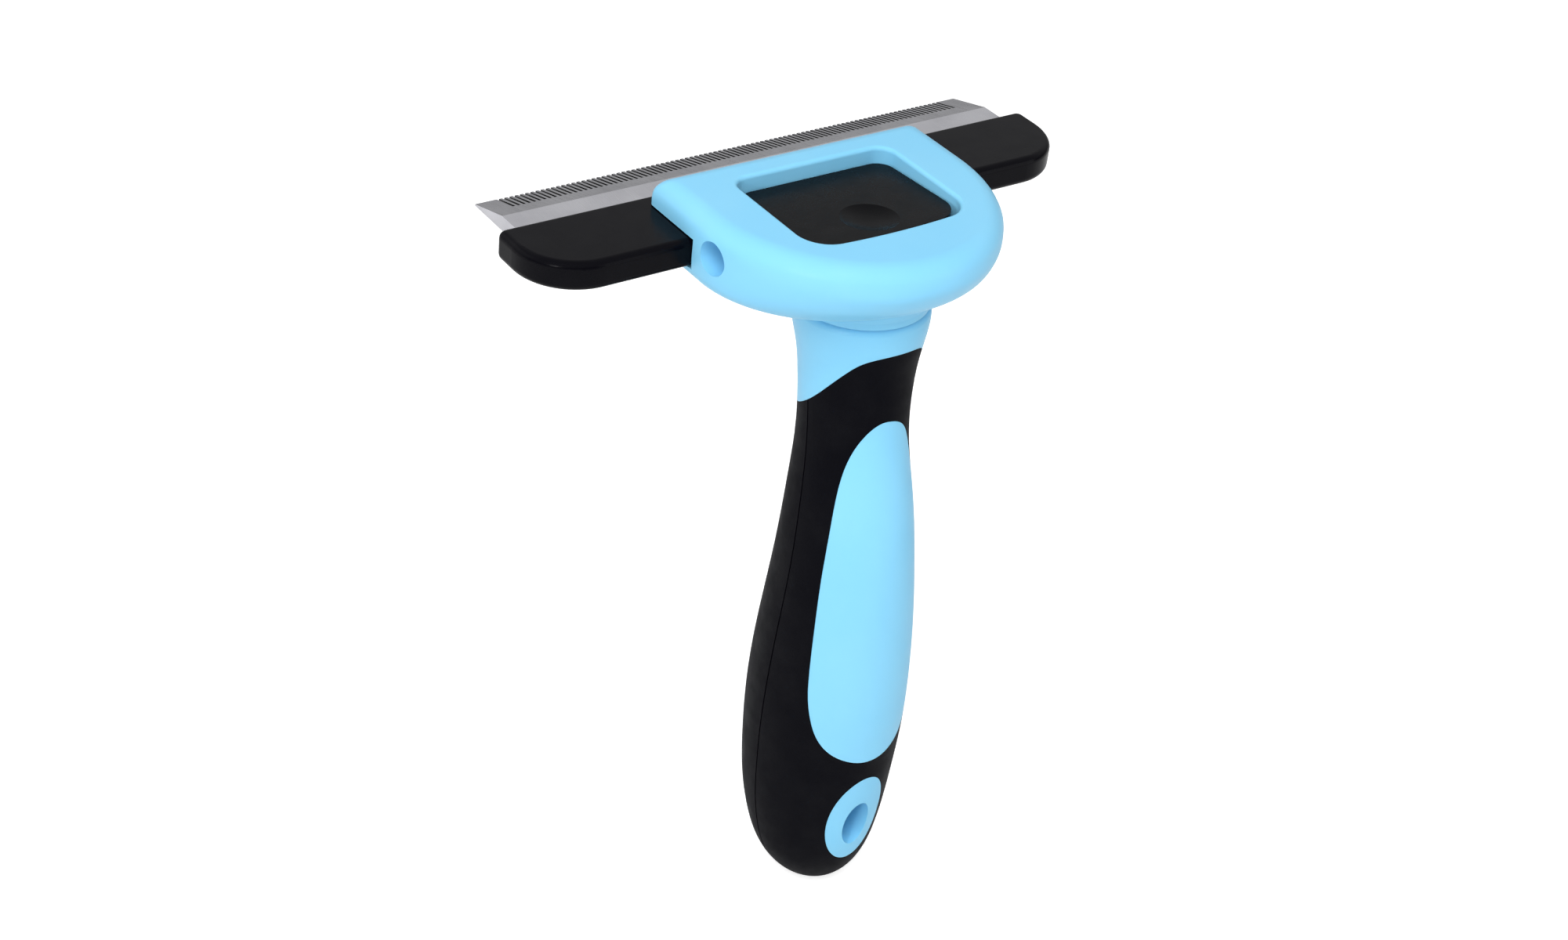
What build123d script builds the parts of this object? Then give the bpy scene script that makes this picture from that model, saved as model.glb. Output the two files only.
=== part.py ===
"""Undercoat rake: a wide comb blade in a slide-in cartridge, a head with a release button, and a grip handle.

Millimetres. +Z runs up the handle, +X along the blade and +Y the way the teeth point, so -Y is the
face that the palm and the front pad are on. The origin is the centre of the hanging hole.
"""
from build123d import *

import os
from math import asin, cos, degrees, radians, sin

# ---------------------------------------------------------------- driving dimensions
# comb blade
BLADE_LENGTH = 101.6            # a standard four inch blade
BLADE_THICKNESS = 2.7
BLADE_FLAT = 5.0                # flat strip in front of the cartridge
BLADE_BEVEL = 9.2               # bevel from the flat strip to the tips
BLADE_TAIL = 9.0                # the part held in the cartridge
TIP_THICKNESS = 0.3
TOOTH_PITCH = 1.0
TOOTH_SLOT = 0.46
SLOT_DEPTH = 5.6
BLADE_MARGIN = 3.8              # plain metal beyond the last slot at each end

# cartridge that holds the blade
CARTRIDGE_END = 3.9             # cartridge beyond each end of the blade
CARTRIDGE_WIDTH = 16.4
CARTRIDGE_THICKNESS = 5.3
CARTRIDGE_CORNER = 11.0         # big corners on the side away from the teeth
CARTRIDGE_EDGE = 1.3
CARTRIDGE_COVER = 1.6           # lower shell, under the blade
CARTRIDGE_PROUD = 2.7           # how far it stands out of the head towards the teeth

# head
HEAD_HALF_WIDTH = 27.4
HEAD_STRAIGHT = 15.3            # straight sides, from the toothed edge down
HEAD_BOW = 30.0                 # the rounded end behind the straight sides
HEAD_CORNER = 1.3
HEAD_DEPTH = 16.2               # top face to the joint with the handle
HEAD_EDGE = 3.6                 # rounding between the top face and the sides
HEAD_EDGE_Y = 30.9              # toothed edge of the head, measured from the hanging hole
WINDOW_LIP = 0.7
HEAD_TOP_BAND = 6.9             # plastic between the toothed edge and the window
SLOT_CEILING = 5.1              # top face to the cartridge slot
SLOT_CLEARANCE = 0.2            # all round the cartridge

# window and button
WINDOW_HALF_WIDTH = 16.0
WINDOW_HEIGHT = 25.6
WINDOW_SAG = 1.0                # how far the lower rim bows
WINDOW_TOP_CORNER = 3.0
WINDOW_LOW_CORNER = 5.5
BUTTON_GAP = 0.7                # sides and toothed-edge end
BUTTON_THUMB_GAP = 1.4          # at the end that swings outwards
BUTTON_PLATE = 1.7
BUTTON_DEEP_END = 2.7           # how far below the face each end of the button lies
BUTTON_THUMB_END = 1.3
BUTTON_SWING = 7.0              # degrees
DIMPLE_RADIUS = 5.0
DIMPLE_DEPTH = 0.9
PIVOT_FROM_EDGE = 19.2          # toothed edge of the head to the pin
PIVOT_DEPTH = 6.0
PIN_RADIUS = 1.2
PIN_CLEARANCE = 0.05
SIDE_HOLE_RADIUS = 3.0
SIDE_HOLE_DEPTH = 7.0

# neck and handle
NECK_RADIUS = 12.0
NECK_FLARE = 4.2                # height of the flare between the neck and the head
SPIGOT_RADIUS = 6.6
SPIGOT_LENGTH = 15.0
SPIGOT_FLAT = 5.4               # half the distance across the two flats
SPIGOT_CLEARANCE = 0.15
SCREW_RADIUS = 1.5
SCREW_HEAD_RADIUS = 2.5
SCREW_HEAD_SINK = 1.6
SCREW_SPREAD = 3.6
GRIP_WALL = 2.6
SEAM_GAP = 0.3
PAD_CLEARANCE = 0.05
WAVE_FRONT = 4.8                # joint to the black grip on the front centreline
PAD_TOP = 18.8                  # from the joint to the top of the front pad
PAD_LENGTH = 69.6
PAD_HALF_WIDTH = 11.4
PAD_BACK_HALF_WIDTH = 8.6
PAD_BACK_DROP = 10.0            # the back pad starts this much lower, clear of the slanting edge
RING_HALF_WIDTH = 6.0
RING_HALF_HEIGHT = 10.9
HOLE_HALF_WIDTH = 2.8
HOLE_HALF_HEIGHT = 5.5
HOLE_DROP = 1.3                 # the hole sits low in its ring
HOLE_LIP = 0.6

# cartridge screws
HOLDER_SCREW_RADIUS = 1.1
HOLDER_SCREW_BACK = 4.6         # from the cartridge's toothed edge to the screws
HOLDER_SCREW_INSET = 8.8        # from each end of the blade to the outer screws

# spring under the button, and the latch leaf
SPRING_RADIUS = 2.4
SPRING_WIRE = 0.3
SPRING_TURNS = 6
SPRING_SINK = 0.8
SPRING_FROM_RIM = 3.0
LEAF_HALF_WIDTH = 4.0
LEAF_THICKNESS = 0.35
NOSE_INSET = 3.6                # from the back of the cartridge to the latch nose
NOSE_REACH = 1.3                # how far the nose drops into the cartridge
RIVET_FROM_PIN = 3.9

# underside of the head: depth below the face, then how much narrower it is on each side, how much shorter
# its bow is, and how far its toothed edge is drawn back
HEAD_SECTIONS = [
    (7.0, 0.0, 0.7, 0.0),
    (8.6, 0.0, 1.7, 0.0),
    (10.2, 0.1, 3.3, 0.0),
    (11.6, 0.4, 5.3, 0.2),
    (12.8, 1.4, 7.4, 0.9),
    (13.8, 3.5, 9.8, 2.8),
    (14.6, 6.4, 12.4, 5.8),
    (15.2, 9.8, 15.0, 9.4),
    (15.6, 13.4, 17.6, 12.6),
]

# upper edge of the black grip: how far behind the handle's front, and how far it has dropped
WAVE = [(-2.5, -0.5), (0.0, 0.2), (1.6, 1.2), (3.5, 3.4), (5.3, 5.9), (7.2, 8.5), (9.8, 11.6), (15.7, 16.2),
        (21.5, 18.9), (27.0, 20.2)]

# pad outline: share of its length from the top, share of its half width
PAD_SHAPE = [(0.033, 0.36), (0.079, 0.51), (0.167, 0.665), (0.255, 0.76), (0.344, 0.83), (0.435, 0.888),
             (0.527, 0.935), (0.62, 0.973), (0.73, 1.0), (0.812, 0.99), (0.865, 0.95), (0.91, 0.88), (0.95, 0.74),
             (0.982, 0.47)]

# handle sections: depth below the head's face, half width, half depth, centre offset towards the teeth
HEAD_TO_HOLE = 121.5            # head's face to the hanging hole
HANDLE_SECTIONS = [
    (16.3, 12.2, 12.2, 6.0),
    (20.0, 11.8, 11.9, 5.3),
    (26.0, 10.6, 10.7, 4.7),
    (33.0, 9.9, 10.1, 4.2),
    (41.0, 9.7, 10.2, 3.4),
    (53.0, 10.7, 11.9, 1.8),
    (66.0, 11.9, 13.5, 0.8),
    (80.0, 13.3, 14.8, 0.6),
    (93.0, 14.1, 15.7, 0.8),
    (103.0, 14.3, 15.7, 0.9),
    (112.0, 14.0, 15.2, 1.0),
    (120.0, 13.5, 14.4, 0.9),
    (127.0, 12.5, 13.2, 0.5),
    (133.0, 10.9, 11.3, -0.1),
    (137.6, 8.2, 8.5, -0.7),
    (140.2, 5.0, 5.3, -1.1),
    (141.3, 2.1, 2.2, -1.3),
]

# ---------------------------------------------------------------- places worked out from them
FACE_Z = HEAD_TO_HOLE
JOINT_Z = FACE_Z - HEAD_DEPTH
NECK_Y = HANDLE_SECTIONS[0][3]
BOW_Y = HEAD_EDGE_Y - HEAD_STRAIGHT
HEAD_REAR_Y = BOW_Y - HEAD_BOW
WINDOW_TOP_Y = HEAD_EDGE_Y - HEAD_TOP_BAND
WINDOW_LOW_Y = WINDOW_TOP_Y - WINDOW_HEIGHT
PIVOT_Y = HEAD_EDGE_Y - PIVOT_FROM_EDGE
PIVOT_Z = FACE_Z - PIVOT_DEPTH

CARTRIDGE_TOP_Z = FACE_Z - SLOT_CEILING - SLOT_CLEARANCE
CARTRIDGE_LOW_Z = CARTRIDGE_TOP_Z - CARTRIDGE_THICKNESS
CARTRIDGE_FRONT_Y = HEAD_EDGE_Y + CARTRIDGE_PROUD
CARTRIDGE_LENGTH = BLADE_LENGTH + 2 * CARTRIDGE_END
CARTRIDGE_BACK_Y = CARTRIDGE_FRONT_Y - CARTRIDGE_WIDTH
BLADE_LOW_Z = CARTRIDGE_LOW_Z + CARTRIDGE_COVER
BLADE_TOP_Z = BLADE_LOW_Z + BLADE_THICKNESS
BLADE_TIP_Y = CARTRIDGE_FRONT_Y + BLADE_FLAT + BLADE_BEVEL
BLADE_REAR_Y = CARTRIDGE_FRONT_Y - BLADE_TAIL
SLOT_BACK_Y = CARTRIDGE_BACK_Y - SLOT_CLEARANCE
SLOT_FLOOR_Z = CARTRIDGE_LOW_Z - SLOT_CLEARANCE

CAVITY_FLOOR_Z = SLOT_FLOOR_Z - 0.6
RING_Z = HOLE_DROP
HOLDER_SCREW_Y = CARTRIDGE_FRONT_Y - HOLDER_SCREW_BACK
HOLDER_SCREW_SPREAD = BLADE_LENGTH / 2 - HOLDER_SCREW_INSET
SPRING_Y = WINDOW_LOW_Y + SPRING_FROM_RIM
NOSE_Y = CARTRIDGE_BACK_Y + NOSE_INSET
RIVET_Y = PIVOT_Y + RIVET_FROM_PIN
BUTTON_TOP_Y = WINDOW_TOP_Y - BUTTON_GAP
BUTTON_LOW_Y = WINDOW_LOW_Y + BUTTON_THUMB_GAP
BUTTON_SLOPE = (BUTTON_DEEP_END - BUTTON_THUMB_END) / (BUTTON_TOP_Y - BUTTON_LOW_Y)
BUTTON_TILT = degrees(asin(BUTTON_SLOPE))
FAR = 200.0


# ---------------------------------------------------------------- small helpers
def box(x0, x1, y0, y1, z0, z1):
    """A plain block between two corners."""
    return Pos((x0 + x1) / 2, (y0 + y1) / 2, (z0 + z1) / 2) * Box(x1 - x0, y1 - y0, z1 - z0)


def upright(radius, x, y, z0, z1):
    """A cylinder along Z."""
    return Pos(x, y, (z0 + z1) / 2) * Cylinder(radius, z1 - z0)


def crosswise(radius, x0, x1, y, z):
    """A cylinder along X."""
    return Pos((x0 + x1) / 2, y, z) * Rot(0, 90, 0) * Cylinder(radius, x1 - x0)


def pan_screw(radius, length, head_radius, head_height):
    """A pan-head screw with a cross recess: shank down from z = 0, head above it."""
    head = Pos(0, 0, head_height / 2) * Cylinder(head_radius, head_height)
    head = fillet(head.edges().group_by(Axis.Z)[-1], head_height * 0.4)
    arm = head_radius * 1.1
    recess = Box(arm, arm * 0.24, head_height) + Box(arm * 0.24, arm, head_height)
    tip = Pos(0, 0, -length + radius / 2) * Cone(radius * 0.5, radius, radius)
    shank = Pos(0, 0, -(length - radius) / 2) * Cylinder(radius, length - radius)
    return (head + shank + tip) - Pos(0, 0, head_height) * recess


def extrude_between(face, z0, z1):
    """A face drawn on the XY plane, made solid from z0 up to z1."""
    return Pos(0, 0, z0) * extrude(face, amount=z1 - z0)


# ---------------------------------------------------------------- comb blade and cartridge
def comb_blade():
    """A ground wedge with a row of narrow slots cut in from the tips."""
    with BuildSketch(Plane.YZ) as section:
        with BuildLine():
            Polyline(
                (BLADE_REAR_Y, BLADE_LOW_Z),
                (BLADE_TIP_Y, BLADE_LOW_Z),
                (BLADE_TIP_Y, BLADE_LOW_Z + TIP_THICKNESS),
                (BLADE_TIP_Y - BLADE_BEVEL, BLADE_TOP_Z),
                (BLADE_REAR_Y, BLADE_TOP_Z),
                close=True,
            )
        make_face()
    blade = extrude(section.sketch, amount=BLADE_LENGTH / 2, both=True)
    slots = int((BLADE_LENGTH - 2 * BLADE_MARGIN) / TOOTH_PITCH)
    cutters = []
    for index in range(slots):
        x = (index - (slots - 1) / 2) * TOOTH_PITCH
        cutters.append(box(x - TOOTH_SLOT / 2, x + TOOTH_SLOT / 2, BLADE_TIP_Y - SLOT_DEPTH, BLADE_TIP_Y + 1,
                           BLADE_LOW_Z - 1, BLADE_TOP_Z + 1))
    blade = blade - cutters
    for x in screw_places():
        blade = blade - upright(HOLDER_SCREW_RADIUS + 0.2, x, HOLDER_SCREW_Y, BLADE_LOW_Z - 1, BLADE_TOP_Z + 1)
    return blade


def screw_places():
    """The three cartridge screws, one at each end and one in the middle."""
    return (-HOLDER_SCREW_SPREAD, 0.0, HOLDER_SCREW_SPREAD)


def cartridge_block():
    """The whole outside of the cartridge: a bar with two big corners and soft edges."""
    with BuildSketch() as plan:
        with Locations((0, (CARTRIDGE_FRONT_Y + CARTRIDGE_BACK_Y) / 2)):
            Rectangle(CARTRIDGE_LENGTH, CARTRIDGE_WIDTH)
        rear = plan.vertices().group_by(Axis.Y)[0]
        fillet(rear, CARTRIDGE_CORNER)
        fillet(plan.vertices().group_by(Axis.Y)[-1], 1.5)
    block = extrude_between(plan.sketch, CARTRIDGE_LOW_Z, CARTRIDGE_TOP_Z)
    rims = block.edges().group_by(Axis.Z)
    return fillet(list(rims[0]) + list(rims[-1]), CARTRIDGE_EDGE)


def latch_pocket(grow=0.0):
    """The pocket in the cartridge's top that the latch leaf drops into."""
    return box(-LEAF_HALF_WIDTH - 0.6 - grow, LEAF_HALF_WIDTH + 0.6 + grow, NOSE_Y - 1.0 - grow, NOSE_Y + 1.3 + grow,
               CARTRIDGE_TOP_Z - NOSE_REACH - 0.4, CARTRIDGE_TOP_Z + 1)


def blade_holder():
    """Upper cartridge shell, with a pocket for the blade and bosses for its screws."""
    upper = cartridge_block() & box(-FAR, FAR, -FAR, FAR, BLADE_LOW_Z, FAR)
    half = BLADE_LENGTH / 2 + 0.1
    seat = box(-half, half, BLADE_REAR_Y - 0.1, FAR, BLADE_LOW_Z - 1, BLADE_TOP_Z + 0.05)
    upper = upper - seat - latch_pocket()
    for x in screw_places():
        upper = upper - upright(HOLDER_SCREW_RADIUS, x, HOLDER_SCREW_Y, BLADE_TOP_Z - 1, CARTRIDGE_TOP_Z - 0.4)
    return upper


def holder_cover():
    """Lower cartridge shell, which clamps the blade from below."""
    lower = cartridge_block() & box(-FAR, FAR, -FAR, FAR, -FAR, BLADE_LOW_Z)
    for x in screw_places():
        lower = lower - upright(HOLDER_SCREW_RADIUS + 0.2, x, HOLDER_SCREW_Y, -FAR, FAR)
        lower = lower - upright(2.2, x, HOLDER_SCREW_Y, CARTRIDGE_LOW_Z - 1, CARTRIDGE_LOW_Z + 0.8)
    return lower


def holder_screws():
    """Small screws, driven from below through the cover and the blade into the upper shell."""
    screw = pan_screw(HOLDER_SCREW_RADIUS, 4.0, 2.0, 0.75)
    seat = CARTRIDGE_LOW_Z + 0.8
    return Compound([Pos(x, HOLDER_SCREW_Y, seat) * Rot(180, 0, 0) * screw for x in screw_places()])


# ---------------------------------------------------------------- head
def head_outline(half, bow, edge_y):
    """The head in plan: straight sides that run into half an ellipse, with two rounded corners."""
    top = edge_y
    corner = HEAD_CORNER
    with BuildSketch() as plan:
        with BuildLine():
            Line((-half, BOW_Y), (-half, top - corner))
            RadiusArc((-half, top - corner), (-half + corner, top), corner)
            Line((-half + corner, top), (half - corner, top))
            RadiusArc((half - corner, top), (half, top - corner), corner)
            Line((half, top - corner), (half, BOW_Y))
            EllipticalCenterArc((0, BOW_Y), half, bow, start_angle=180, arc_size=180)
        make_face()
    return plan.sketch


def head_body():
    """Outside of the head: a rounded rim, upright walls, and a bowl that rolls under to the neck."""
    rows = []
    for step in range(6):
        angle = radians(18 * step)
        inset = HEAD_EDGE * (1 - sin(angle))
        rows.append((HEAD_EDGE * (1 - cos(angle)), inset))
    sections = [
        Pos(0, 0, FACE_Z - drop) * head_outline(HEAD_HALF_WIDTH - inset, HEAD_BOW - inset, HEAD_EDGE_Y - inset)
        for drop, inset in rows
    ]
    sections.append(Pos(0, 0, FACE_Z - 5.2) * head_outline(HEAD_HALF_WIDTH, HEAD_BOW, HEAD_EDGE_Y))
    for drop, narrower, shorter, back in HEAD_SECTIONS:
        outline = head_outline(HEAD_HALF_WIDTH - narrower, HEAD_BOW - shorter, HEAD_EDGE_Y - back)
        sections.append(Pos(0, 0, FACE_Z - drop) * outline)
    with BuildSketch(Plane.XZ) as profile:
        with BuildLine():
            Polyline((NECK_RADIUS, JOINT_Z + 1.2), (NECK_RADIUS, JOINT_Z), (0, JOINT_Z), (0, JOINT_Z + NECK_FLARE),
                     (NECK_RADIUS + 2.6, JOINT_Z + NECK_FLARE))
            ThreePointArc((NECK_RADIUS + 2.6, JOINT_Z + NECK_FLARE), (NECK_RADIUS + 0.6, JOINT_Z + 2.5),
                          (NECK_RADIUS, JOINT_Z + 1.2))
        make_face()
    neck = Pos(0, NECK_Y, 0) * revolve(profile.sketch, Axis.Z)
    return loft(sections) + neck


def window_outline(shrink=0.0, thumb_shrink=0.0):
    """The window in plan, or the button when it is shrunk: four rounded corners and a bowed lower rim."""
    half = WINDOW_HALF_WIDTH - shrink
    top = WINDOW_TOP_Y - shrink
    low = WINDOW_LOW_Y + thumb_shrink
    with BuildSketch() as plan:
        with BuildLine():
            Polyline((-half, low + WINDOW_SAG), (-half, top), (half, top), (half, low + WINDOW_SAG))
            ThreePointArc((half, low + WINDOW_SAG), (0, low), (-half, low + WINDOW_SAG))
        make_face()
        fillet(plan.vertices().group_by(Axis.Y)[-1], WINDOW_TOP_CORNER)
        fillet(plan.vertices().group_by(Axis.Y)[0], WINDOW_LOW_CORNER)
    return plan.sketch


def head_housing():
    """The head moulding: slot for the cartridge, window and well for the button, and the neck spigot."""
    head = head_body()
    head = head - box(-FAR, FAR, SLOT_BACK_Y, FAR, SLOT_FLOOR_Z, FACE_Z - SLOT_CEILING)
    head = head - extrude_between(window_outline(), CAVITY_FLOOR_Z, FACE_Z + 1)
    rim = [edge for edge in head.edges() if edge.center().Z > FACE_Z - 0.01 and abs(edge.center().X) < WINDOW_HALF_WIDTH + 0.1
           and WINDOW_LOW_Y - 0.1 < edge.center().Y < WINDOW_TOP_Y + 0.1]
    head = fillet(rim, WINDOW_LIP)
    for side in (-1, 1):
        face = side * HEAD_HALF_WIDTH
        inner = side * (HEAD_HALF_WIDTH - SIDE_HOLE_DEPTH)
        head = head - crosswise(SIDE_HOLE_RADIUS, min(face * 1.2, inner), max(face * 1.2, inner), PIVOT_Y, PIVOT_Z)
    pin_end = HEAD_HALF_WIDTH - SIDE_HOLE_DEPTH + 1
    head = head - crosswise(PIN_RADIUS, -pin_end, pin_end, PIVOT_Y, PIVOT_Z)
    spigot = upright(SPIGOT_RADIUS, 0, NECK_Y, JOINT_Z - SPIGOT_LENGTH, JOINT_Z)
    spigot = spigot & box(-FAR, FAR, NECK_Y - SPIGOT_FLAT, NECK_Y + SPIGOT_FLAT, -FAR, FAR)
    head = head + spigot
    for side in (-1, 1):
        x = side * SCREW_SPREAD
        head = head - upright(SCREW_RADIUS + 0.15, x, NECK_Y, JOINT_Z - SPIGOT_LENGTH - 1, CAVITY_FLOOR_Z + 1)
        head = head - upright(SCREW_HEAD_RADIUS + 0.15, x, NECK_Y, CAVITY_FLOOR_Z - SCREW_HEAD_SINK, CAVITY_FLOOR_Z + 1)
    return head - upright(SPRING_RADIUS + 0.4, 0, SPRING_Y, CAVITY_FLOOR_Z - SPRING_SINK, CAVITY_FLOOR_Z + 1)


# ---------------------------------------------------------------- release button, its pin, spring and latch
def button_top_z(y):
    """Height of the button's sloping top at a place along Y."""
    return FACE_Z - BUTTON_THUMB_END - BUTTON_SLOPE * (y - BUTTON_LOW_Y)


def release_button():
    """A rocker: a sloping plate with a thumb dimple, on a cross lug that turns on the pin."""
    plan = extrude_between(window_outline(BUTTON_GAP, BUTTON_THUMB_GAP), PIVOT_Z - 10, FACE_Z + 5)
    middle_y = (BUTTON_TOP_Y + BUTTON_LOW_Y) / 2
    slab = Box(4 * WINDOW_HALF_WIDTH, 4 * WINDOW_HEIGHT, BUTTON_PLATE)
    slab = Pos(0, middle_y, button_top_z(middle_y)) * Rot(-BUTTON_TILT, 0, 0) * Pos(0, 0, -BUTTON_PLATE / 2) * slab
    plate = plan & slab
    lug_radius = PIVOT_DEPTH - BUTTON_THUMB_END - BUTTON_PLATE - 0.4
    lug_half = WINDOW_HALF_WIDTH - BUTTON_GAP - 0.3
    lug = crosswise(lug_radius, -lug_half, lug_half, PIVOT_Y, PIVOT_Z)
    web = box(-lug_half, lug_half, PIVOT_Y - 1.4, PIVOT_Y + 1.4, PIVOT_Z, button_top_z(PIVOT_Y) - BUTTON_PLATE / 2)
    guide_top = button_top_z(SPRING_Y) - BUTTON_PLATE / 2
    guide = upright(SPRING_RADIUS - 2 * SPRING_WIRE - 0.3, 0, SPRING_Y, button_top_z(SPRING_Y) - BUTTON_PLATE - 2.2,
                    guide_top)
    button = plate + lug + web + guide
    button = button - crosswise(PIN_RADIUS + PIN_CLEARANCE, -FAR, FAR, PIVOT_Y, PIVOT_Z)
    ball = (DIMPLE_RADIUS ** 2 + DIMPLE_DEPTH ** 2) / (2 * DIMPLE_DEPTH)
    dimple_y = BUTTON_LOW_Y + DIMPLE_RADIUS + 2.2
    dimple_z = button_top_z(dimple_y) + ball - DIMPLE_DEPTH
    button = button - Pos(0, dimple_y, dimple_z) * Sphere(ball)
    return button - upright(0.75, 0, RIVET_Y, -FAR, button_top_z(RIVET_Y) - 0.6)


def button_pin():
    """Steel pin, pressed into the head at both ends; the button turns on it."""
    half = HEAD_HALF_WIDTH - SIDE_HOLE_DEPTH - 0.4
    pin = crosswise(PIN_RADIUS, -half, half, PIVOT_Y, PIVOT_Z)
    return chamfer(pin.edges(), 0.25)


def button_spring():
    """Coil spring under the thumb end."""
    low = CAVITY_FLOOR_Z - SPRING_SINK + SPRING_WIRE + 0.02
    high = button_top_z(SPRING_Y + SPRING_RADIUS) - BUTTON_PLATE - SPRING_WIRE - 0.06
    path = Helix(pitch=(high - low) / SPRING_TURNS, height=high - low, radius=SPRING_RADIUS - SPRING_WIRE)
    start = Plane(origin=path @ 0, z_dir=path % 0)
    coil = sweep(start * Circle(SPRING_WIRE), path=path, is_frenet=True)
    return Pos(0, SPRING_Y, low) * coil


def latch_leaf():
    """Spring steel leaf under the button, bent down into the cartridge's pocket."""
    under = button_top_z(RIVET_Y) - BUTTON_PLATE - 0.02
    fall = BUTTON_SLOPE
    rear = RIVET_Y - 1.3
    bend = NOSE_Y

    def under_z(y):
        return under - fall * (y - RIVET_Y)

    tip = CARTRIDGE_TOP_Z - NOSE_REACH
    with BuildSketch(Plane.YZ) as section:
        with BuildLine():
            Polyline(
                (rear, under_z(rear)),
                (bend + LEAF_THICKNESS, under_z(bend + LEAF_THICKNESS)),
                (bend + LEAF_THICKNESS, tip),
                (bend, tip),
                (bend, under_z(bend) - LEAF_THICKNESS),
                (rear, under_z(rear) - LEAF_THICKNESS),
                close=True,
            )
        make_face()
    leaf = extrude(section.sketch, amount=LEAF_HALF_WIDTH, both=True)
    return leaf - upright(0.75, 0, RIVET_Y, -FAR, FAR)


def leaf_rivet():
    """Holds the leaf to the button."""
    under = button_top_z(RIVET_Y) - BUTTON_PLATE - 0.02 - LEAF_THICKNESS
    shank = upright(0.7, 0, RIVET_Y, under - 0.1, button_top_z(RIVET_Y) - 0.7)
    head = upright(1.2, 0, RIVET_Y, under - 0.55, under - 0.1)
    return shank + head


def neck_screws():
    """Two screws from the button's well down through the spigot into the handle core."""
    screw = pan_screw(SCREW_RADIUS, SPIGOT_LENGTH + 10.0, SCREW_HEAD_RADIUS, 1.4)
    seat = CAVITY_FLOOR_Z - SCREW_HEAD_SINK
    return Compound([Pos(side * SCREW_SPREAD, NECK_Y, seat) * screw for side in (-1, 1)])


# ---------------------------------------------------------------- handle
def handle_solid(inset=0.0):
    """The handle's outside, or the same shape drawn in by an inset, as one smooth loft."""
    faces = []
    for depth, half_x, half_y, y in HANDLE_SECTIONS:
        if min(half_x, half_y) - inset < 1.0:
            break
        faces.append(Pos(0, y, FACE_Z - depth) * Ellipse(half_x - inset, half_y - inset))
    return loft(faces)


def front_half(shift):
    """Everything in front of the handle's centreline, moved by a shift along Y."""
    line = [(y + shift, FACE_Z - depth) for depth, _, _, y in HANDLE_SECTIONS]
    with BuildSketch(Plane.YZ) as region:
        with BuildLine():
            curve = Spline(*line)
            Polyline(curve @ 1, (line[-1][0], -FAR), (-FAR, -FAR), (-FAR, FAR), (line[0][0], FAR), curve @ 0)
        make_face()
    return extrude(region.sketch, amount=40, both=True)


def grip_edge(shift=0.0):
    """Everything below the grip's upper edge, which sweeps down from the front to the back."""
    _, _, half_y, middle_y = HANDLE_SECTIONS[1]
    line = [(middle_y - half_y + run, JOINT_Z - WAVE_FRONT - shift - fall) for run, fall in WAVE]
    with BuildSketch(Plane.YZ) as region:
        with BuildLine():
            curve = Spline(*line)
            Polyline(curve @ 1, (FAR, line[-1][1]), (FAR, -FAR), (-FAR, -FAR), (-FAR, line[0][1]), curve @ 0)
        make_face()
    return extrude(region.sketch, amount=40, both=True)


def pad_outline(front, grow=0.0):
    """Egg outline of a pad, on the XZ plane: a smooth closed curve through the listed shares."""
    top = JOINT_Z - PAD_TOP - (0.0 if front else PAD_BACK_DROP) + grow
    low = JOINT_Z - PAD_TOP - PAD_LENGTH - grow
    half = (PAD_HALF_WIDTH if front else PAD_BACK_HALF_WIDTH) + grow
    side = [(half * width, top + (low - top) * share) for share, width in PAD_SHAPE]
    points = [(0, top)] + side + [(0, low)] + [(-x, z) for x, z in reversed(side)]
    with BuildSketch(Plane.XZ) as outline:
        with BuildLine():
            Spline(*points, periodic=True)
        make_face()
    return outline.sketch


def through_y(sketch):
    """A sketch on the XZ plane, made solid right through the handle."""
    return extrude(sketch, amount=60, both=True)


def ring_solid(grow=0.0):
    """The hanging ring's outline, right through the handle."""
    with BuildSketch(Plane.XZ) as outline:
        with Locations((0, RING_Z)):
            Ellipse(RING_HALF_WIDTH + grow, RING_HALF_HEIGHT + grow)
    return through_y(outline.sketch)


def handle_core():
    """Blue core: the visible collar, and inside the grip a slimmer copy of the handle."""
    collar = handle_solid() - grip_edge()
    collar = fillet(collar.edges().group_by(Axis.Z)[-1], 1.2)
    core = collar + handle_solid(GRIP_WALL)
    socket = upright(SPIGOT_RADIUS + SPIGOT_CLEARANCE, 0, NECK_Y, JOINT_Z - SPIGOT_LENGTH - 0.3, FACE_Z)
    flat = SPIGOT_FLAT + SPIGOT_CLEARANCE
    socket = socket & box(-FAR, FAR, NECK_Y - flat, NECK_Y + flat, -FAR, FAR)
    core = core - socket
    for side in (-1, 1):
        core = core - upright(SCREW_RADIUS, side * SCREW_SPREAD, NECK_Y, JOINT_Z - SPIGOT_LENGTH - 14, JOINT_Z)
    return core - ring_solid(PAD_CLEARANCE)


def grip_shell():
    """Black shell between the handle's outside and its core."""
    return (handle_solid() - handle_solid(GRIP_WALL)) & grip_edge(PAD_CLEARANCE)


def grip_half(front):
    """One half of the grip, with its pad window and its share of the ring."""
    side = front_half(-SEAM_GAP / 2) if front else front_half(SEAM_GAP / 2)
    half = grip_shell() & side if front else grip_shell() - side
    return half - through_y(pad_outline(front, PAD_CLEARANCE)) - ring_solid(PAD_CLEARANCE)


def pad(front):
    """One blue pad, flush with the grip."""
    side = front_half(0.0)
    block = (handle_solid() - handle_solid(GRIP_WALL)) & through_y(pad_outline(front))
    block = block - ring_solid(PAD_CLEARANCE)
    return block & side if front else block - side


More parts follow.
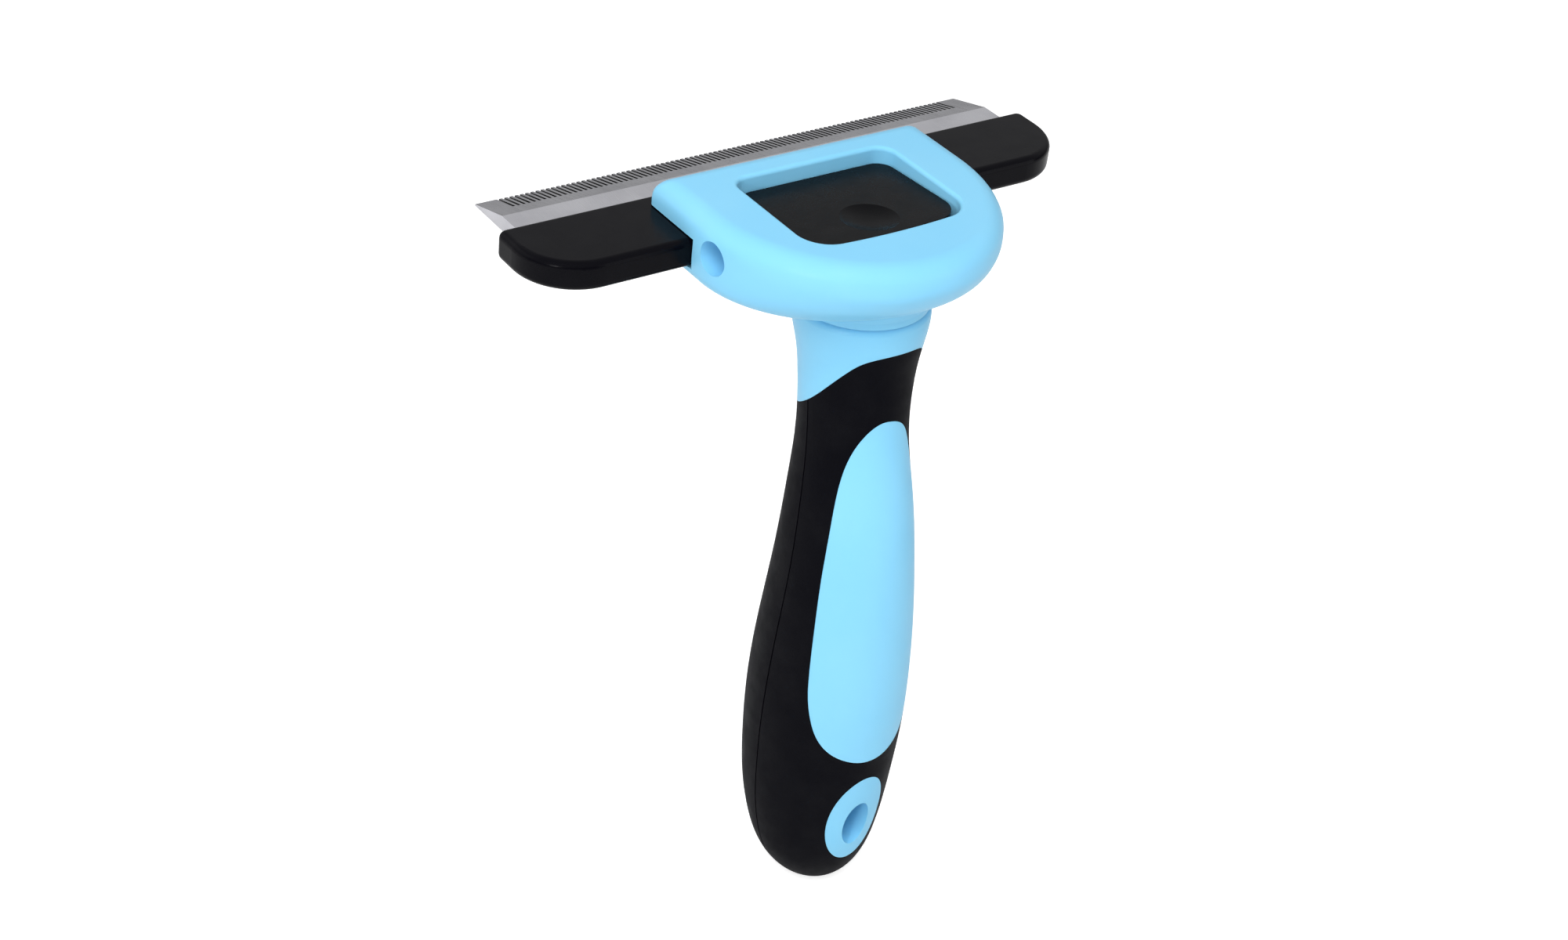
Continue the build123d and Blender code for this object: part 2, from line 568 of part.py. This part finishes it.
def hang_sleeve():
    """Blue ring right through the handle, with the hanging hole in it."""
    sleeve = handle_solid() & ring_solid()
    with BuildSketch(Plane.XZ) as outline:
        Ellipse(HOLE_HALF_WIDTH, HOLE_HALF_HEIGHT)
    sleeve = sleeve - through_y(outline.sketch)
    reach = HOLE_HALF_HEIGHT + 0.01
    rims = [edge for edge in sleeve.edges() if edge.bounding_box().size.Z < 2 * reach and edge.length > HOLE_HALF_HEIGHT
            and abs(edge.center().Z) < 1.0 and edge.bounding_box().size.Y < 4.0]
    return fillet(rims, HOLE_LIP)


# ---------------------------------------------------------------- write the parts
PARTS = {
    "comb_blade": comb_blade,
    "blade_holder": blade_holder,
    "holder_cover": holder_cover,
    "holder_screws": holder_screws,
    "head_housing": head_housing,
    "release_button": release_button,
    "button_pin": button_pin,
    "button_spring": button_spring,
    "latch_leaf": latch_leaf,
    "leaf_rivet": leaf_rivet,
    "neck_screws": neck_screws,
    "handle_core": handle_core,
    "grip_front": lambda: grip_half(True),
    "grip_back": lambda: grip_half(False),
    "pad_front": lambda: pad(True),
    "pad_back": lambda: pad(False),
    "hang_sleeve": hang_sleeve,
}

os.makedirs("parts", exist_ok=True)
for name, make in PARTS.items():
    part = make()
    export_step(part, f"parts/{name}.step")
    print(name, round(part.volume, 1))
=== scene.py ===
# %% [markdown]
# # An undercoat rake, finished in Blender
#
# The CAD model already holds every real part: the comb blade in its cartridge, the head with its
# rocker button, and the handle with its grips and pads. This lesson loads that model as a fixed frame
# and gives it its looks. Nothing here moves or resizes a CAD part.

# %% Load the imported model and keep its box
import math

import bpy
import numpy as np
from mathutils import Matrix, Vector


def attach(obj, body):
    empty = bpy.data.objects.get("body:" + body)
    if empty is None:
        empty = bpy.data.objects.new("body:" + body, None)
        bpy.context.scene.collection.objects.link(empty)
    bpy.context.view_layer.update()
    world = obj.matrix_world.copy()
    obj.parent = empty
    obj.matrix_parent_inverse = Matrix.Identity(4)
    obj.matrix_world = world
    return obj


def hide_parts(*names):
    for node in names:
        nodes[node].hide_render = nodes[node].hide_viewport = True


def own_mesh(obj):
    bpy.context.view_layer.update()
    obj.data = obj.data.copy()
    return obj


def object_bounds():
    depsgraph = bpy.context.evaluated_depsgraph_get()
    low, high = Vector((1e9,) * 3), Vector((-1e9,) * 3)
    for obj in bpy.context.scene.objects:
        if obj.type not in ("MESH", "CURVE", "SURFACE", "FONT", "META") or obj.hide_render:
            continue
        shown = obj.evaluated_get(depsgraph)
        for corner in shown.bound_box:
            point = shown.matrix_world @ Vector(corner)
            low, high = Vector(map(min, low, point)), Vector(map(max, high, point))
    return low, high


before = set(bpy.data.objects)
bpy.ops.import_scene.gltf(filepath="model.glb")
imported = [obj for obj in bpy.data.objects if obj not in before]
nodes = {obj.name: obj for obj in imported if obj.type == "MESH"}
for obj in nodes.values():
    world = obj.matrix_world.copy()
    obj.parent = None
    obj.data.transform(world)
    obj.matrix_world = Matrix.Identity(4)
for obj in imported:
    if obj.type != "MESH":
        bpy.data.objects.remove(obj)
cad_bounds = [list(map(float, corner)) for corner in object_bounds()]
MM = 0.001
print("nodes:", len(nodes), "box:", [[round(v, 4) for v in c] for c in cad_bounds])

# %% [markdown]
# ## Shader maths as Python
#
# A material is a graph, and a graph is easier to read as an expression. `Wire` wraps one output socket.
# Multiplying wires adds the Math nodes behind the scenes, and `Shader.node` makes any other node from its
# type, its settings and the values of its sockets.


# %% A wire and a shader
class Wire:
    """One output socket, with arithmetic that adds Math nodes."""

    def __init__(self, shader, socket):
        self.shader, self.socket = shader, socket

    def _math(self, operation, *others):
        return self.shader.node(
            "ShaderNodeMath", {"operation": operation}, dict(enumerate([self, *others])))

    def __mul__(self, other):
        return self._math("MULTIPLY", other)

    __rmul__ = __mul__

    def __abs__(self):
        return self._math("ABSOLUTE")

    def larger(self, other):
        """The larger of two values."""
        return self._math("MAXIMUM", other)

    def ramp(self, low, high, to_low=0.0, to_high=1.0):
        """Map low..high smoothly onto to_low..to_high, held at both ends."""
        return self.shader.node(
            "ShaderNodeMapRange",
            {"interpolation_type": "SMOOTHSTEP"},
            {"Value": self, "From Min": low, "From Max": high,
             "To Min": to_low, "To Max": to_high},
        )


class Shader:
    """A new material with a Principled BSDF and a short way to add nodes."""

    def __init__(self, name):
        self.material = bpy.data.materials.new(name)
        self.material.use_nodes = True
        self.tree = self.material.node_tree
        self.bsdf = self.tree.nodes["Principled BSDF"]

    def node(self, kind, settings=None, inputs=None, out=0):
        made = self.tree.nodes.new(kind)
        for key, value in (settings or {}).items():
            setattr(made, key, value)
        for key, value in (inputs or {}).items():
            self.feed(made.inputs[key], value)
        return Wire(self, made.outputs[out])

    def feed(self, socket, value):
        if isinstance(value, Wire):
            self.tree.links.new(value.socket, socket)
        elif isinstance(value, tuple) and len(value) == 3 and socket.type == "RGBA":
            socket.default_value = (*value, 1.0)
        else:
            socket.default_value = value

    def place(self, scale=(1.0, 1.0, 1.0)):
        """Object coordinates in metres, stretched by a scale."""
        coordinates = self.node("ShaderNodeTexCoord", out=3)
        return self.node("ShaderNodeMapping", None, {"Vector": coordinates, "Scale": scale})

    def part(self, vector, index):
        """One component of a vector: 0 for X, 1 for Y, 2 for Z."""
        return self.node("ShaderNodeSeparateXYZ", None, {"Vector": vector}, out=index)

    def noise(self, where, scale, detail=2.0, roughness=0.5):
        return self.node(
            "ShaderNodeTexNoise", None,
            {"Vector": where, "Scale": scale, "Detail": detail, "Roughness": roughness})

    def mix(self, factor, a, b):
        """Blend two colours."""
        made = self.tree.nodes.new("ShaderNodeMix")
        made.data_type = "RGBA"
        for index, value in ((0, factor), (6, a), (7, b)):
            self.feed(made.inputs[index], value)
        return Wire(self, made.outputs[2])

    def bump(self, height, distance):
        return self.node("ShaderNodeBump", None,
                         {"Height": height, "Distance": distance, "Strength": 1.0})

    def finish(self, **sockets):
        """Set or link the Principled BSDF's own sockets, named with underscores for spaces."""
        for key, value in sockets.items():
            self.feed(self.bsdf.inputs[key.replace("_", " ")], value)
        return self.material


def wear(node_name, material):
    """Give a CAD node its material in every slot."""
    slots = nodes[node_name].data.materials
    slots.clear()
    slots.append(material)


# %% [markdown]
# ## Sky blue plastic
#
# The head and the collar are moulded in a pale, saturated blue with a satin skin. The tool steel's fine
# spark texture leaves an almost invisible grain, and a thick moulding cools unevenly, so its colour drifts
# a little from place to place. Inside the grips the core is coloured black, because a hairline seam between
# the two grips would otherwise show it as a thin blue line.


# %% The blue finishes
BLUE = (0.258, 0.655, 0.925)
BLUE_DEEP = (0.240, 0.634, 0.912)
SEAM_BLACK = (0.0035, 0.0034, 0.0042)
GRIPS_BELOW = 80.0 * MM
GRIPS_BLEND = 0.5 * MM


def blue_plastic(name, grain, gloss, covered=False):
    """Satin blue: broad drift in colour, a fine grain in the surface, handling marks in the gloss.

    covered turns it black inside the grips: weight = smoothstep(z, GRIPS_BELOW - GRIPS_BLEND, GRIPS_BELOW).
    """
    shader = Shader(name)
    where = shader.place()
    drift = shader.noise(where, 38.0, 3.0).ramp(0.35, 0.68)
    handled = shader.noise(where, 160.0, 4.0, 0.6).ramp(0.35, 0.75, gloss, gloss + 0.07)
    skin = shader.noise(where, 5200.0, 2.0)
    colour = shader.mix(drift, BLUE, BLUE_DEEP)
    if covered:
        open_air = shader.part(where, 2).ramp(GRIPS_BELOW - GRIPS_BLEND, GRIPS_BELOW)
        colour = shader.mix(open_air, SEAM_BLACK, colour)
    return shader.finish(
        Base_Color=colour,
        Roughness=handled,
        Normal=shader.bump(skin, grain),
        Specular_IOR_Level=0.22,
        Subsurface_Weight=0.06,
        Subsurface_Radius=(0.002, 0.004, 0.005),
        Subsurface_Scale=0.4,
    )


shell_blue = blue_plastic("shell_blue", grain=0.000006, gloss=0.33, covered=True)
pad_blue = blue_plastic("pad_blue", grain=0.00001, gloss=0.42)
for name in ("head_housing", "handle_core"):
    wear(name, shell_blue)
for name in ("pad_front", "pad_back", "hang_sleeve"):
    wear(name, pad_blue)

# %% [markdown]
# ## Black rubber and black plastic
#
# The grips are soft-touch rubber: nearly black, matte, with a faint lint-grey bloom. The cartridge and the
# button are hard black plastic, which keeps a sharper highlight along its rounded edges.


# %% The black finishes
def black_plastic(name, colour, bloom, gloss, grain, grain_size, shine):
    """Near-black skin with a grey bloom, a fine grain and uneven gloss."""
    shader = Shader(name)
    where = shader.place()
    dusty = shader.noise(where, 90.0, 5.0, 0.62).ramp(0.42, 0.78)
    rubbed = shader.noise(where, 240.0, 3.0, 0.6).ramp(0.3, 0.7, gloss - 0.04, gloss + 0.06)
    skin = shader.noise(where, grain_size, 3.0, 0.55)
    return shader.finish(
        Base_Color=shader.mix(dusty, colour, bloom),
        Roughness=rubbed,
        Normal=shader.bump(skin, grain),
        Specular_IOR_Level=shine,
    )


grip_rubber = black_plastic(
    "grip_rubber", (0.0026, 0.0026, 0.0044), (0.0048, 0.0048, 0.0066),
    gloss=0.55, grain=0.00002, grain_size=3800.0, shine=0.035)
cartridge_black = black_plastic(
    "cartridge_black", (0.0016, 0.0015, 0.0030), (0.0026, 0.0025, 0.0042),
    gloss=0.20, grain=0.00001, grain_size=3000.0, shine=0.065)
button_black = black_plastic(
    "button_black", (0.0024, 0.0025, 0.0032), (0.0040, 0.0042, 0.0050),
    gloss=0.28, grain=0.00001, grain_size=3400.0, shine=0.06)
for name in ("grip_front", "grip_back"):
    wear(name, grip_rubber)
for name in ("blade_holder", "holder_cover"):
    wear(name, cartridge_black)
wear("release_button", button_black)

# %% [markdown]
# ## Ground steel
#
# The comb is ground across its bevel, so fine scratches run from the spine to the tips. The spring wire and
# the screws share a plainer steel.


# %% The steel finishes
SLOTS_WITHIN = 50.0 * MM
SLOTS_BLEND = 0.2 * MM


def ground_steel(name, stretch, colour, smoke, gloss, depth, painted_slot_shade=None):
    """Bright metal with scratches stretched along one axis, and a faint smoky tint in patches.

    the slot colour is painted shade, a near-black colour on the walls of the comb's slots for the shade
    inside them:
    weight = smoothstep(|Nx|, 0.5, 0.9) * (1 - smoothstep(|x|, SLOTS_WITHIN, SLOTS_WITHIN + SLOTS_BLEND)).
    """
    shader = Shader(name)
    scratches = shader.noise(shader.place(stretch), 900.0, 4.0, 0.65)
    patches = shader.noise(shader.place(), 120.0, 3.0).ramp(0.35, 0.7)
    tint = shader.mix(patches, colour, smoke)
    # Painted shade: the walls of the comb's slots are coloured near black, standing in for the shade inside
    # the narrow slots.
    if painted_slot_shade:
        across = abs(shader.part(shader.node("ShaderNodeTexCoord", out=1), 0)).ramp(0.5, 0.9)
        distance = abs(shader.part(shader.node("ShaderNodeTexCoord", out=3), 0))
        inside = distance.ramp(SLOTS_WITHIN, SLOTS_WITHIN + SLOTS_BLEND, 1.0, 0.0)
        tint = shader.mix(across * inside, tint, painted_slot_shade)
    return shader.finish(
        Base_Color=tint,
        Metallic=1.0,
        Roughness=scratches.ramp(0.25, 0.75, gloss - 0.06, gloss + 0.1),
        Normal=shader.bump(scratches, depth),
    )


# The last colour here is painted shade for the walls of the comb's slots.
blade_steel = ground_steel(
    "blade_steel", (6.0, 0.12, 0.12), (0.60, 0.60, 0.635), (0.53, 0.53, 0.565),
    gloss=0.30, depth=0.000012, painted_slot_shade=(0.008, 0.008, 0.010))
plain_steel = ground_steel(
    "plain_steel", (1.0, 1.0, 1.0), (0.62, 0.62, 0.64), (0.56, 0.56, 0.58),
    gloss=0.3, depth=0.000004)
wear("comb_blade", blade_steel)
for name in ("holder_screws", "button_pin", "button_spring", "latch_leaf", "leaf_rivet", "neck_screws"):
    wear(name, plain_steel)

# %% [markdown]
# ## The button's coil spring
#
# Pressing the button shortens the coil spring under its thumb end. The CAD spring is rigid, and a finer coil
# stands for it here; it stays rigid too. A tube is a circle carried along a curve: at each
# point the tangent T and two directions N and B at right angles to it span the section.


# %% The button's spring
SPRING_Y, SPRING_LOW, SPRING_RISE = 1.4 * MM, 109.62 * MM, 8.278 * MM
SPRING_RADIUS, SPRING_WIRE, SPRING_TURNS = 2.1 * MM, 0.3 * MM, 6
STEPS_PER_TURN = 36


def helix(t, radius, rise, turns):
    """Centreline: (r cos a, r sin a, rise t) with a = 2 pi turns t, for t from 0 to 1."""
    angle = 2 * np.pi * turns * t
    return np.stack([radius * np.cos(angle), radius * np.sin(angle), rise * t], axis=-1)


def tube(line, radius, around=10):
    """Rings c + r (cos b N + sin b B), where N points at right angles to T and the Z axis, and B = T x N."""
    tangent = np.gradient(line, axis=0)
    tangent /= np.linalg.norm(tangent, axis=1, keepdims=True)
    normal = np.cross(tangent, (0.0, 0.0, 1.0))
    normal /= np.linalg.norm(normal, axis=1, keepdims=True)
    other = np.cross(tangent, normal)
    angle = np.linspace(0, 2 * np.pi, around, endpoint=False)[None, :, None]
    section = np.cos(angle) * normal[:, None] + np.sin(angle) * other[:, None]
    return line[:, None] + radius * section


def ring_mesh(name, rings, material):
    """Join rings of points into a closed, smooth mesh, with a cap at each end."""
    count, around = rings.shape[:2]
    corner = np.arange(count * around).reshape(count, around)
    after = np.roll(corner, -1, axis=1)
    quads = np.stack([corner[:-1], after[:-1], after[1:], corner[1:]], axis=-1).reshape(-1, 4)
    faces = [*quads.tolist(), corner[0][::-1].tolist(), corner[-1].tolist()]
    mesh = bpy.data.meshes.new(name)
    mesh.from_pydata(rings.reshape(-1, 3).tolist(), [], faces)
    mesh.polygons.foreach_set("use_smooth", [True] * len(quads) + [False, False])
    mesh.materials.append(material)
    piece = bpy.data.objects.new(name, mesh)
    bpy.context.collection.objects.link(piece)
    return piece


steps = np.linspace(0, 1, STEPS_PER_TURN * SPRING_TURNS + 1)
coil = helix(steps, SPRING_RADIUS, SPRING_RISE, SPRING_TURNS)
coil = coil + np.array([0.0, SPRING_Y, SPRING_LOW])
spring = ring_mesh("spring_coil", tube(coil, SPRING_WIRE), plain_steel)
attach(spring, "root")
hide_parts("button_spring")
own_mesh(spring)

# %% [markdown]
# ## Camera
#
# The view is from the palm side, turned to the left and looking down. Three angles and a distance give
# the camera's axes, so its place is worked out and not typed in.

# %% Camera
AZIMUTH = math.radians(38.02)
ELEVATION = math.radians(34.37)
ROLL = math.radians(6.71)
DISTANCE = 0.4032
AIM = np.array([-0.0170, -0.0007, 0.0785])
LENS = 54.68
SENSOR_WIDTH = 36.0
NEAREST = 0.01


def place_camera():
    """Point a camera at AIM.

    towards = (-sin a cos e, -cos a cos e, sin e) leads back to the camera, and the roll turns right and up
    about it.
    """
    towards = np.array([
        -math.sin(AZIMUTH) * math.cos(ELEVATION),
        -math.cos(AZIMUTH) * math.cos(ELEVATION),
        math.sin(ELEVATION),
    ])
    level = np.array([math.cos(AZIMUTH), -math.sin(AZIMUTH), 0.0])
    upright = np.cross(towards, level)
    right = math.cos(ROLL) * level + math.sin(ROLL) * upright
    up = -math.sin(ROLL) * level + math.cos(ROLL) * upright
    camera = bpy.data.objects.new("camera", bpy.data.cameras.new("camera"))
    bpy.context.collection.objects.link(camera)
    axes = np.eye(4)
    axes[:3, 0], axes[:3, 1], axes[:3, 2] = right, up, towards
    axes[:3, 3] = AIM + DISTANCE * towards
    camera.matrix_world = Matrix(axes.tolist())
    camera.data.sensor_width = SENSOR_WIDTH
    camera.data.lens = LENS
    camera.data.clip_start = NEAREST
    bpy.context.scene.camera = camera


place_camera()

# %% [markdown]
# ## Light and floor
#
# The tool is lit by big soft boxes. A large key above and to the left gives the blue its long soft gradient;
# it is hidden from reflections, so that the blade doesn't burn out from behind. A fill on the right opens the
# shadows, a small glint gives the black plastic its highlights, and a wide rim lights the back. The surround
# is brighter overhead than at the horizon where it is reflected, and white where it is seen directly.


# %% Lamps
def soft_box(name, spot, size, power, target=(0.0, 0.0, 0.06)):
    """A square area lamp that faces the target."""
    lamp = bpy.data.lights.new(name, "AREA")
    lamp.energy, lamp.size = power, size
    holder = bpy.data.objects.new(name, lamp)
    bpy.context.collection.objects.link(holder)
    back = np.array(spot) - np.array(target)
    back = back / np.linalg.norm(back)
    side = np.cross((0.0, 0.0, 1.0), back)
    side = side / np.linalg.norm(side)
    axes = np.eye(4)
    axes[:3, 0], axes[:3, 1], axes[:3, 2], axes[:3, 3] = side, np.cross(back, side), back, spot
    holder.matrix_world = Matrix(axes.tolist())
    return holder


soft_box("key", (-0.40, -0.35, 0.80), 0.5, 5.8).visible_glossy = False
soft_box("fill", (0.55, -0.70, 0.20), 0.6, 1.38)
soft_box("glint", (-0.62, -0.35, 0.34), 0.07, 0.9)
soft_box("rim", (-0.65, 0.60, 0.35), 0.9, 1.4)

FLOOR_SIZE = 6.0
FLOOR_GAP = 0.0003
PAPER_GLOW = 0.66
PAPER_REFLECTED = 0.4
bpy.ops.mesh.primitive_plane_add(
    size=FLOOR_SIZE, location=(0.0, 0.0, cad_bounds[0][2] - FLOOR_GAP))
floor = bpy.context.object
floor.name = "floor"
paper = Shader("paper")
camera_ray = paper.node("ShaderNodeLightPath", out=0)
glossy_ray = paper.node("ShaderNodeLightPath", out=3)
seen = camera_ray.larger(glossy_ray * PAPER_REFLECTED)
floor.data.materials.append(paper.finish(
    Base_Color=(0.80, 0.80, 0.80),
    Roughness=1.0,
    Specular_IOR_Level=0.0,
    Emission_Color=(1.0, 1.0, 1.0),
    Emission_Strength=seen * PAPER_GLOW,
))

SURROUND = 0.42
HORIZON, ZENITH = 0.26, 0.80
LOW, HIGH = 0.12, 0.50
world = bpy.data.worlds.new("surround")
bpy.context.scene.world = world
world.use_nodes = True
tree = world.node_tree
background = tree.nodes["Background"]
background.inputs["Color"].default_value = (1.0, 1.0, 1.0, 1.0)


def join(kind, settings, inputs):
    """One node of the world's tree, fed with sockets and plain values; returns its first output."""
    made = tree.nodes.new(kind)
    for key, value in settings.items():
        setattr(made, key, value)
    for key, value in inputs.items():
        if isinstance(value, bpy.types.NodeSocket):
            tree.links.new(value, made.inputs[key])
        else:
            made.inputs[key].default_value = value
    return made.outputs[0]


rays = tree.nodes.new("ShaderNodeLightPath").outputs
height = tree.nodes.new("ShaderNodeSeparateXYZ")
tree.links.new(tree.nodes.new("ShaderNodeTexCoord").outputs["Generated"], height.inputs[0])
mirrored = join("ShaderNodeMapRange", {}, {
    "Value": height.outputs["Z"], "From Min": LOW, "From Max": HIGH,
    "To Min": HORIZON, "To Max": ZENITH})
soft = join("ShaderNodeMix", {"data_type": "FLOAT"}, {
    "Factor": rays["Is Glossy Ray"], "A": SURROUND, "B": mirrored})
shown = join("ShaderNodeMath", {"operation": "MAXIMUM"}, {0: soft, 1: rays["Is Camera Ray"]})
shown = join("ShaderNodeMath", {"operation": "MAXIMUM"}, {0: shown, 1: rays["Is Transmission Ray"]})
tree.links.new(shown, background.inputs["Strength"])

# %% Picture settings and the end of the script
bpy.context.scene.view_settings.view_transform = "Standard"
